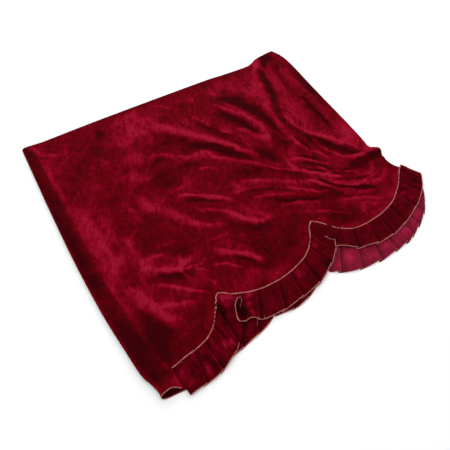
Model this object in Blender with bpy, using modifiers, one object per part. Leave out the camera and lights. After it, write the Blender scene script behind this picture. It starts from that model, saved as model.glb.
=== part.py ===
"""Piano cover of velvet, lying folded in two.

One velvet sheet is folded over at the left. Its front hem is scalloped and edged by the ruffle:
pleated strips, three along the upper layer and three along the lower. X runs from the fold to the
right-hand edge, Y from the ruffle to the back edge, Z up. The origin is under the middle of the
folded cover. Tables are in millimetres, as the cover lies.
"""

import bmesh
import bpy
import math
import numpy as np
from mathutils import Vector

MM = 0.001

# Driving sizes, in millimetres
VELVET = 1.5            # thickness of the velvet with its pile
STRIP = 1.0             # thickness of the ruffle's strip
AIR = 0.3               # least space between two pieces
LAYER_STEP = 3.0        # from the lower layer's middle to the upper layer's
PLEAT_STEP = 1.6        # from one layer of a pleat to the next
SEAM = 12.0             # how far the cloth runs on under the ruffle's heading
HEADING_LAP = 16.0      # how far a pleat overlaps the next at the heading
HEM_LAP = 7.0           # and at the hem
UPPER_FLARE = 2.5       # rise of the middle of a pleat at its hem
LOWER_FLARE = 0.8       # and on the strips that the cover lies on
HEADING_SLOPE = 45.0    # over which the lower layer comes down behind its ruffle's heading
PLAIN_END_X = -412.0    # beside the fold the lower layer lies flat, rising to its ruffle
PLAIN_RISE = 66.0       # over this length
CROWN_SLOPE = 30.0      # the upper layer comes down from the fold's crown over this length
CROWN_SLOPE_MORE = 40.0     # and over this much more further back
CROWN_FRONT_Y = -430.0  # where that begins to grow
CROWN_GROWTH = 300.0    # and the length it grows over
EDGE_FLAT = 14.0        # the main folds begin this far in from the front edge
EDGE_RISE = 40.0        # and reach their full height over this length
CORNER = (470.0, 455.0)     # the back right-hand corner, which stands off the floor
CORNER_LIFT = 9.0
CORNER_REACH = 70.0
NOSE_STEPS = 5          # facets round the fold
ROWS = 30               # rows of the cloth from hem to back edge
UPPER_COLUMNS = 38
LOWER_COLUMNS = 19
STRIP_ROWS = (0.0, 0.16, 0.4, 0.7, 1.0)     # rows of a strip, as shares from heading to hem

STEEP_SLACK = 0.1       # extra space where a strip's facets slope
HEM_SLACK = 0.3         # and where the cloth's do
FACET_SLACK = 0.9       # the cloth's flat facets stand this far off its true curve
FLOOR_MID = VELVET / 2
LOWER_STRIP_MID = STRIP / 2 + STEEP_SLACK
LOWER_STRIP_TOP = LOWER_STRIP_MID + STRIP / 2 + 2 * PLEAT_STEP
LOWER_EDGE_MID = LOWER_STRIP_TOP + AIR + VELVET / 2 + HEM_SLACK
STRIP_OVER_VELVET = VELVET / 2 + AIR + STRIP / 2 + FACET_SLACK
UPPER_HEM_MID = LOWER_STRIP_TOP + AIR + STRIP / 2 + 2 * HEM_SLACK

# Places round a point of a strip whose height of cloth it must clear: x, y
ROUND_LOWER_CLOTH = ((0, 0), (9, 0), (-9, 0), (0, 26), (0, -12))
ROUND_UPPER_CLOTH = ((0, 0), (9, 0), (-9, 0), (0, 9), (0, -9))

# The fold at the left: y, its outermost x, the depth of its nose, the height of its crown
FOLD = (
    (-462, -445, 30, 20),
    (-444, -446, 30, 20),
    (-421, -453, 30, 20),
    (-393, -464, 30, 19),
    (-325, -473, 28, 18),
    (-184, -488, 26, 16),
    (5, -497, 24, 14),
    (220, -500, 20, 12),
    (454, -500, 12, 9),
)

# The upper layer's back edge and right edge: x, y
BACK_EDGE = ((-488, 455), (-233, 456), (151, 445), (345, 430), (389, 442), (418, 448), (468, 454))
RIGHT_EDGE = (
    (513, -225), (498, -185), (497, -151), (506, -134), (504, -118), (485, -100), (488, -54),
    (490, 31), (491, 203), (495, 350), (487, 410), (468, 454),
)
# How far the lower layer's back and right edges lie inside the upper layer's
LOWER_INSET = 6.0

# The plain hem beside the ruffle, on each layer: x, y
UPPER_PLAIN_HEM = ((-415, -460), (-405, -463), (-394, -466), (-389, -428))
LOWER_PLAIN_HEM = ((-415, -474), (-390, -478), (-360, -476), (-345, -415))

# The ruffle's strips, as ribs from heading to hem: heading x, heading y, hem x, hem y, and how
# far the hem stands off what it lies on. Each strip of the upper layer ends on or under the next
UPPER_LEFT = (
    (-393, -414, -383, -492, 6), (-355, -409, -350, -491, 1), (-312, -403, -302, -487, 0),
    (-278, -392, -262, -472, 0), (-250, -369, -236, -460, 0), (-226, -336, -218, -447, 2),
    (-210, -308, -206, -437, 4), (-200, -299, -195, -424, 3), (-186, -306, -184, -410, 0),
    (-165, -322, -170, -404, 0), (-135, -337, -148, -404, 0),
)
UPPER_MIDDLE = (
    (-152, -330, -190, -400, 10), (-143, -334, -176, -404, 2), (-130, -340, -156, -407, 6),
    (-112, -345, -132, -424, 0), (-80, -350, -80, -430, 0), (-40, -352, -36, -427, 0),
    (0, -347, 6, -422, 0), (42, -337, 45, -416, 0), (82, -317, 88, -398, 0),
    (112, -287, 122, -380, 0), (131, -254, 152, -355, 1), (145, -241, 171, -327, 3),
)
UPPER_RIGHT = (
    (138, -250, 148, -338, 0), (148, -240, 162, -345, 0), (164, -252, 180, -354, 0),
    (182, -273, 194, -367, 0), (200, -299, 212, -382, 0), (225, -318, 236, -388, 0),
    (258, -328, 264, -396, 0), (300, -329, 308, -399, 0), (345, -324, 355, -393, 0),
    (390, -312, 402, -379, 0), (428, -291, 450, -358, 0), (465, -262, 492, -334, 0),
    (497, -229, 526, -304, 1), (517, -213, 548, -272, 3),
)
LOWER_LEFT = (
    (-340, -392, -335, -472, 0), (-290, -390, -285, -470, 0), (-235, -385, -235, -464, 0),
    (-180, -376, -184, -454, 0), (-135, -362, -140, -445, 0), (-105, -352, -105, -431, 0),
)
LOWER_MIDDLE = (
    (-102, -352, -102, -431, 0), (-70, -358, -66, -437, 0), (-35, -362, -35, -440, 0),
    (5, -358, 8, -431, 0), (45, -343, 48, -415, 0), (80, -327, 88, -398, 0),
)
LOWER_RIGHT = (
    (83, -326, 98, -397, 0), (125, -328, 135, -420, 0), (165, -332, 172, -434, 0),
    (210, -347, 214, -440, 0), (260, -359, 263, -442, 0), (310, -360, 318, -438, 0),
    (360, -354, 372, -429, 0), (410, -336, 428, -402, 0), (450, -310, 470, -375, 0),
    (485, -275, 506, -334, 0), (506, -248, 532, -294, 0),
)
# The pleats' folds on each strip, as shares of its heading and of its hem
UPPER_LEFT_FOLDS = ((0.115, 0.11), (0.2, 0.215), (0.33, 0.38), (0.46, 0.47))
UPPER_MIDDLE_FOLDS = ((0.257, 0.227), (0.409, 0.364), (0.5, 0.5), (0.615, 0.636), (0.709, 0.782),
                      (0.818, 0.891))
UPPER_RIGHT_FOLDS = ((0.373, 0.29), (0.474, 0.463), (0.551, 0.554), (0.637, 0.65),
                     (0.742, 0.753), (0.81, 0.852), (0.885, 0.935))
LOWER_LEFT_FOLDS = ((0.22, 0.22), (0.45, 0.45), (0.68, 0.68), (0.88, 0.88))
LOWER_MIDDLE_FOLDS = ((0.3, 0.3), (0.55, 0.55), (0.8, 0.8))
LOWER_RIGHT_FOLDS = ((0.2, 0.06), (0.3, 0.214), (0.39, 0.352), (0.46, 0.467), (0.535, 0.545),
                     (0.59, 0.604), (0.655, 0.667), (0.735, 0.766), (0.83, 0.86), (0.92, 0.935))
# Strips by name: ribs, folds, and the layer of pleat that the first begins on and the last ends on
UPPER_STRIPS = {
    "ruffle_upper_left": (UPPER_LEFT, UPPER_LEFT_FOLDS, 0.0, 0.0),
    "ruffle_upper_middle": (UPPER_MIDDLE, UPPER_MIDDLE_FOLDS, 2.0, 2.0),
    "ruffle_upper_right": (UPPER_RIGHT, UPPER_RIGHT_FOLDS, 0.0, 2.0),
}
# Of the lower layer's strips, two lie with the pile up and the right-hand one with its back up
LOWER_PILE_UP = {
    "ruffle_lower_left": (LOWER_LEFT, LOWER_LEFT_FOLDS, 0.0, 0.0),
    "ruffle_lower_middle": (LOWER_MIDDLE, LOWER_MIDDLE_FOLDS, 0.0, 0.0),
}
LOWER_BACK_UP = {
    "ruffle_lower_right": (LOWER_RIGHT, LOWER_RIGHT_FOLDS, 0.0, 0.0),
}

# The main folds of the upper layer, each an arc through three points: x, y three times,
# half width, height
RIDGES = (
    (-90, 320, 20, 200, 150, 40, 30, 7),
    (60, 290, 120, 170, 165, 70, 26, 5),
    (150, 330, 215, 190, 240, 60, 28, 7),
    (390, 430, 300, 230, 300, 30, 32, 8),
    (455, 430, 445, 220, 435, -60, 32, 5),
    (310, 150, 350, 30, 450, -110, 28, 6),
    (400, -125, 460, -127, 520, -124, 20, 10),
    (130, 20, 210, -60, 310, -160, 26, 5),
    (60, -60, 150, -130, 260, -190, 28, 5),
    (220, -115, 290, -185, 390, -230, 28, 8),
    (-70, -40, -20, -150, 70, -180, 28, 5),
    (-380, -190, -365, -260, -325, -315, 30, 4),
    (-110, -190, -75, -240, -45, -285, 26, 4),
    (-340, -130, -280, -185, -205, -190, 28, 4),
)
RIDGE_END = 0.12        # share of a half wave left off at each end of a main fold
RIDGE_SHARPNESS = 1.6


def ease(value):
    """Smooth step from 0 to 1."""
    value = np.clip(value, 0.0, 1.0)
    return value * value * (3.0 - 2.0 * value)


def smooth_line(points, per_span=8):
    """Points along a smooth curve through the given points."""
    points = np.array(points, float)
    padded = np.vstack([2 * points[0] - points[1], points, 2 * points[-1] - points[-2]])
    spans = []
    for a, b, c, d in zip(padded, padded[1:], padded[2:], padded[3:]):
        for k in range(per_span):
            s = k / per_span
            spans.append(0.5 * (2 * b + (c - a) * s + (2 * a - 5 * b + 4 * c - d) * s ** 2
                                + (3 * b - a - 3 * c + d) * s ** 3))
    return np.vstack([spans, points[-1]])


def along(line, share):
    """The point at a share, 0 to 1, of a line's length."""
    steps = np.linalg.norm(np.diff(line[:, :2], axis=0), axis=1)
    length = np.concatenate([[0], np.cumsum(steps)])
    return np.array([np.interp(share * length[-1], length, line[:, i]) for i in range(line.shape[1])])


def heading_line(strips):
    """The line that the strips' headings follow, as x, y points from left to right."""
    points = sorted({rib[:2] for ribs, *_ in strips.values() for rib in ribs})
    return np.array(points, float)


UPPER_HEADING = heading_line(UPPER_STRIPS)
LOWER_HEADING = heading_line({**LOWER_PILE_UP, **LOWER_BACK_UP})
FOLD_LINE = np.array(FOLD, float)


def front_y(x, heading, plain_hem):
    """The cloth's front edge: a little outside the heading, or the plain hem beside the fold."""
    hem = np.array(plain_hem, float)
    sewn = np.interp(x, heading[:, 0], heading[:, 1]) - SEAM
    return np.where(x < hem[-1, 0], np.interp(x, hem[:, 0], hem[:, 1]), sewn)


def lower_height(x, y):
    """Middle of the lower layer: flat on the floor, raised over the heading of its ruffle."""
    inward = y - np.interp(x, LOWER_HEADING[:, 0], LOWER_HEADING[:, 1])
    lift = 1.0 - ease((inward - SEAM) / HEADING_SLOPE)
    return FLOOR_MID + (LOWER_EDGE_MID - FLOOR_MID) * lift * ease((x - PLAIN_END_X) / PLAIN_RISE)


def ridge_height(x, y):
    """Height that the main folds add at a place."""
    total = np.zeros(np.shape(x))
    for x1, y1, x2, y2, x3, y3, half_width, height in RIDGES:
        arc = smooth_line(((x1, y1), (x2, y2), (x3, y3)), 6)
        gap = np.hypot(x[..., None] - arc[:, 0], y[..., None] - arc[:, 1])
        nearest = gap.argmin(axis=-1)
        share = nearest / (len(arc) - 1)
        taper = np.sin(np.pi * (RIDGE_END + (1 - 2 * RIDGE_END) * share))
        across = np.exp(-RIDGE_SHARPNESS * (gap.min(axis=-1) / half_width) ** 2)
        total = total + height * taper * across
    return total


def upper_height(x, y):
    """Middle of the upper layer."""
    crown = np.interp(y, FOLD_LINE[:, 0], FOLD_LINE[:, 3])
    start = np.interp(y, FOLD_LINE[:, 0], FOLD_LINE[:, 1] + FOLD_LINE[:, 2])
    width = CROWN_SLOPE + CROWN_SLOPE_MORE * ease((y - CROWN_FRONT_Y) / CROWN_GROWTH)
    base = lower_height(x, y) + LAYER_STEP
    down = ease((x - start) / width)
    from_edge = y - front_y(x, UPPER_HEADING, UPPER_PLAIN_HEM)
    folds = ridge_height(x, y) * down * ease((from_edge - EDGE_FLAT) / EDGE_RISE)
    from_corner = np.hypot(x - CORNER[0], y - CORNER[1])
    corner = CORNER_LIFT * np.exp(-(from_corner / CORNER_REACH) ** 2)
    return np.maximum(base, crown * (1 - down) + base * down) + folds + corner


def patch(front, back, left, right, us, vs):
    """Grid of x, y between four edge lines, given from left to right and from front to back."""
    grid = np.zeros((len(vs), len(us), 2))
    for i, v in enumerate(vs):
        for j, u in enumerate(us):
            across = (1 - v) * along(front, u) + v * along(back, u)
            up = (1 - u) * along(left, v) + u * along(right, v)
            corners = ((1 - u) * ((1 - v) * front[0] + v * back[0])
                       + u * ((1 - v) * front[-1] + v * back[-1]))
            grid[i, j] = across + up - corners
    return grid


def fold_edge(front_start, back_start):
    """Where the nose of the fold begins, from front to back."""
    rows = [(x + nose, y) for y, x, nose, _ in FOLD]
    line = smooth_line(rows)
    line[:, 1] = np.interp(line[:, 1], (line[0, 1], line[-1, 1]), (front_start, back_start))
    return line


def layer_grid(heading, plain_hem, inset, columns):
    """One layer of the cloth as a grid of x, y."""
    xs = np.linspace(plain_hem[0][0], RIGHT_EDGE[0][0] - inset, 240)
    front = np.stack([xs, front_y(xs, heading, plain_hem)], axis=1)
    back = smooth_line(BACK_EDGE) - (0, inset)
    back[:, 0] = np.interp(back[:, 0], (back[0, 0], back[-1, 0]), (back[0, 0], back[-1, 0] - inset))
    left = fold_edge(front[0, 1], back[0, 1])
    right = smooth_line(RIGHT_EDGE) - (inset, 0)
    right[:, 1] = np.interp(right[:, 1], (right[0, 1], right[-1, 1]), (front[-1, 1], back[-1, 1]))
    front[0], back[0] = left[0], left[-1]
    us = np.linspace(0, 1, columns + 1)
    vs = np.linspace(0, 1, ROWS + 1)
    return patch(front, back, left, right, us, vs)


def nose_grid(top_edge, bottom_edge):
    """The fold between the two layers' inner edges, as rows of x, y, z."""
    rows = []
    for (x, y, z), (_, low_y, low_z) in zip(top_edge, bottom_edge):
        nose = np.interp(y, FOLD_LINE[:, 0], FOLD_LINE[:, 2])
        row = []
        for k in range(1, NOSE_STEPS):
            turn = math.pi / 2 - math.pi * k / NOSE_STEPS
            height = (z + low_z) / 2 + (z - low_z) / 2 * math.sin(turn)
            share = (1 - math.sin(turn)) / 2
            row.append((x - nose * math.cos(turn), y + (low_y - y) * share, height))
        rows.append(row)
    return np.array(rows)


def sheet_object(name, grid, thickness, material, collection):
    """An object from a grid of points, rows by columns, given its thickness by Solidify."""
    mesh = bpy.data.meshes.new(name)
    shape = bmesh.new()
    rows = [[shape.verts.new(Vector(point) * MM) for point in row] for row in grid]
    for low, high in zip(rows, rows[1:]):
        for a, b, c, d in zip(low, low[1:], high[1:], high):
            shape.faces.new((a, b, c, d))
    bmesh.ops.recalc_face_normals(shape, faces=shape.faces)
    shape.to_mesh(mesh)
    shape.free()
    mesh.shade_smooth()
    mesh.materials.append(material)
    piece = bpy.data.objects.new(name, mesh)
    collection.objects.link(piece)
    solidify = piece.modifiers.new("thickness", "SOLIDIFY")
    solidify.thickness = thickness * MM
    solidify.offset = 0.0
    solidify.use_even_offset = True
    return piece


def make_cloth(collection, material):
    """The velvet sheet: lower layer, fold and upper layer as one section."""
    top = layer_grid(UPPER_HEADING, UPPER_PLAIN_HEM, 0.0, UPPER_COLUMNS)
    bottom = layer_grid(LOWER_HEADING, LOWER_PLAIN_HEM, LOWER_INSET, LOWER_COLUMNS)
    top = np.dstack([top, upper_height(top[..., 0], top[..., 1])])
    bottom = np.dstack([bottom, lower_height(bottom[..., 0], bottom[..., 1])])
    nose = nose_grid(top[:, 0], bottom[:, 0])
    section = np.concatenate([top[:, ::-1], nose, bottom], axis=1)
    return sheet_object("cover_cloth", section, VELVET, material, collection)


def pleated_ribs(table, folds, first_layer, last_layer, flare):
    """Ribs of a strip laid in knife pleats: heading x, y, layer, hem x, y, rise of the hem."""
    ribs = np.array(table, float)
    heading, hem = smooth_line(ribs[:, :2]), smooth_line(ribs[:, 2:])
    place = np.linspace(0, 1, len(heading))
    length = np.linalg.norm(np.diff(heading, axis=0), axis=1).sum()

    def rib(shares, lap, layer, lift):
        at_heading = np.clip(shares[0] + lap * HEADING_LAP / length, 0.0, 1.0)
        at_hem = np.clip(shares[1] + lap * HEM_LAP / length, 0.0, 1.0)
        x, y = (np.interp(at_heading, place, heading[:, i]) for i in (0, 1))
        hem_x, hem_y, rise = (np.interp(at_hem, place, hem[:, i]) for i in (0, 1, 2))
        return (x, y, layer, hem_x, hem_y, rise + lift)

    ends = ((0.0, 0.0), *folds, (1.0, 1.0))
    last = len(folds)
    rows = []
    for k in range(last + 1):
        start, end = ends[k], ends[k + 1]
        middle = ((start[0] + end[0]) / 2, (start[1] + end[1]) / 2)
        low = first_layer if k == 0 else 0.0
        high = last_layer if k == last else 2.0
        rows.append(rib(start, 0, low, 0))
        rows.append(rib(start, 1, low, 0))
        rows.append(rib(middle, 0.5, (low + high) / 2, flare if high else 0))
        rows.append(rib(end, 0, high, 0))
        if k < last:
            rows.append(rib(end, 1, high, 0))
            rows.append(rib(end, 1, 1.0, 0))
            rows.append(rib(end, 0, 1.0, 0))
    return rows


def strip_grid(ribs, bed):
    """The strip's surface as rows from heading to hem, laid on a bed."""
    grid = []
    for share in STRIP_ROWS:
        row = []
        for x, y, layer, hem_x, hem_y, rise in ribs:
            px, py = x + (hem_x - x) * share, y + (hem_y - y) * share
            row.append((px, py, bed(px, py) + layer * PLEAT_STEP + rise * share ** 2))
        grid.append(row)
    return np.array(grid)


def lower_bed(x, y):
    """Height of the lower strips' middle on the floor."""
    return LOWER_STRIP_MID


def upper_bed(x, y):
    """Height of the upper strips' middle where they lie on the cloth and the lower strips."""
    bed = UPPER_HEM_MID
    for dx, dy in ROUND_LOWER_CLOTH:
        if y + dy > front_y(x + dx, LOWER_HEADING, LOWER_PLAIN_HEM):
            bed = max(bed, lower_height(x + dx, y + dy) + STRIP_OVER_VELVET)
    for dx, dy in ROUND_UPPER_CLOTH:
        if y + dy > front_y(x + dx, UPPER_HEADING, UPPER_PLAIN_HEM):
            cloth = float(upper_height(np.array(x + dx), np.array(y + dy)))
            bed = max(bed, cloth + STRIP_OVER_VELVET)
    return bed


def make_ruffle(strips, bed, flare, material, collection):
    """The strips of one layer, each laid in pleats from its heading to its hem."""
    pieces = []
    for name, (ribs, folds, first_layer, last_layer) in strips.items():
        grid = strip_grid(pleated_ribs(ribs, folds, first_layer, last_layer, flare), bed)
        pieces.append(sheet_object(name, grid, STRIP, material, collection))
    return pieces


def make_material(name, colour, roughness):
    """A plain material of one colour, given as linear red, green, blue."""
    material = bpy.data.materials.new(name)
    material.use_nodes = True
    shader = material.node_tree.nodes["Principled BSDF"]
    shader.inputs["Base Color"].default_value = (*colour, 1.0)
    shader.inputs["Roughness"].default_value = roughness
    shader.inputs["Metallic"].default_value = 0.0
    return material


def centre_on_floor(pieces):
    """Put the origin under the middle of the whole cover, at the floor."""
    bpy.context.view_layer.update()
    depsgraph = bpy.context.evaluated_depsgraph_get()
    points = []
    for piece in pieces:
        shape = piece.evaluated_get(depsgraph).to_mesh()
        points += [vertex.co.copy() for vertex in shape.vertices]
    low = [min(point[i] for point in points) for i in range(3)]
    high = [max(point[i] for point in points) for i in range(3)]
    shift = Vector(((low[0] + high[0]) / 2, (low[1] + high[1]) / 2, low[2]))
    for piece in pieces:
        for vertex in piece.data.vertices:
            vertex.co -= shift


for old in list(bpy.data.objects):
    bpy.data.objects.remove(old)
cover = bpy.data.collections.new("piano_cover")
bpy.context.scene.collection.children.link(cover)
velvet = make_material("velvet_face", (0.13, 0.0, 0.008), 0.6)
ruffle_velvet = make_material("ruffle_velvet", (0.12, 0.0, 0.01), 0.6)
ruffle_reverse = make_material("ruffle_reverse", (0.3, 0.01, 0.06), 0.7)
pieces = [make_cloth(cover, velvet)]
pieces += make_ruffle(UPPER_STRIPS, upper_bed, UPPER_FLARE, ruffle_velvet, cover)
pieces += make_ruffle(LOWER_PILE_UP, lower_bed, LOWER_FLARE, ruffle_velvet, cover)
pieces += make_ruffle(LOWER_BACK_UP, lower_bed, LOWER_FLARE, ruffle_reverse, cover)
centre_on_floor(pieces)
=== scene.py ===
"""Piano cover of crushed velvet, folded in two, with a pleated ruffle along its scalloped hem."""

import math

import bpy
import numpy as np
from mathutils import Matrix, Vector


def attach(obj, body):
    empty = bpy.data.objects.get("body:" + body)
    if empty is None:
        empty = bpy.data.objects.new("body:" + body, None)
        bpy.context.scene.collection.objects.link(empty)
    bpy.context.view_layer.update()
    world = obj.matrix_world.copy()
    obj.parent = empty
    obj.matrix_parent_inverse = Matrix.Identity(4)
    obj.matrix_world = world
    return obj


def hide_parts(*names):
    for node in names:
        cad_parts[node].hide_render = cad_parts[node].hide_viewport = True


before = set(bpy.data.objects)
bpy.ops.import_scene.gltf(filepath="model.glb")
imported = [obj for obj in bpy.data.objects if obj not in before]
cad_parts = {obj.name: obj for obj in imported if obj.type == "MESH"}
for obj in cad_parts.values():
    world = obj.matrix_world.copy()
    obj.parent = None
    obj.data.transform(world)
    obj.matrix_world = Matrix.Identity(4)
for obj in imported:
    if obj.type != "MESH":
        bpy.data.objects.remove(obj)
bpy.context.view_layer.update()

# The velvet sheet. One piece of polyester crushed velvet, folded in two at the left with its pile
# outward. It isn't pressed: the fold is puffy, and soft creases run across the top layer.
# Tables are in millimetres, as the cover lies.
MM = 0.001
VELVET = 1.3            # thickness with the pile
LAYER_STEP = 3.0        # from the lower layer's middle to the upper layer's
SEAM = 12.0             # how far the cloth runs on under the ruffle's heading
FLOOR_MID = 0.75
LOWER_EDGE_MID = 5.65   # the lower layer lies over its ruffle's heading
HEADING_SLOPE = 45.0
ROWS, UPPER_COLUMNS, NOSE_STEPS, LOWER_COLUMNS = 285, 288, 10, 34

# The fold: y, its outermost x, the depth of its nose, the height of its crown
FOLD = (
    (-462, -445, 30, 20), (-444, -446, 30, 20), (-421, -453, 30, 20), (-393, -464, 30, 19),
    (-325, -473, 28, 18), (-184, -488, 26, 16), (5, -497, 24, 14), (220, -500, 20, 12),
    (454, -500, 12, 9),
)
# As in the photo: up to 7 mm from the solid's edge at the back, and 3 mm at the right
BACK_EDGE = (
    (-488, 455), (-233, 456), (151, 448), (250, 441), (345, 436), (370, 441), (392, 450), (420, 455),
    (468, 455),
)
RIGHT_EDGE = (
    (513, -225), (498, -185), (497, -151), (506, -134), (504, -118), (485, -100), (488, -54),
    (491, 31), (494, 203), (498, 350), (490, 410), (469, 454),
)
LOWER_INSET = 6.0
UPPER_PLAIN_HEM = ((-415, -460), (-405, -464), (-394, -470), (-384, -476), (-381, -430))
LOWER_PLAIN_HEM = ((-415, -474), (-390, -478), (-360, -476), (-345, -415))
UPPER_SEAM = (
    (-393, -414), (-355, -409), (-312, -403), (-278, -392), (-250, -369), (-226, -336), (-210, -308),
    (-200, -299), (-186, -306), (-165, -322), (-152, -330), (-130, -340), (-112, -345), (-80, -350),
    (-40, -352), (0, -347), (42, -337), (82, -317), (112, -287), (131, -254), (148, -240),
    (164, -252), (182, -273), (200, -299), (225, -318), (258, -328), (300, -329), (345, -324),
    (390, -312), (428, -291), (465, -262), (497, -229), (517, -213),
)
LOWER_SEAM = (
    (-340, -392), (-290, -390), (-235, -385), (-180, -376), (-135, -362), (-104, -352), (-70, -358),
    (-35, -362), (5, -358), (45, -343), (82, -326), (125, -328), (165, -332), (210, -347),
    (260, -359), (310, -360), (360, -354), (410, -336), (450, -310), (485, -275), (506, -248),
)

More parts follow.
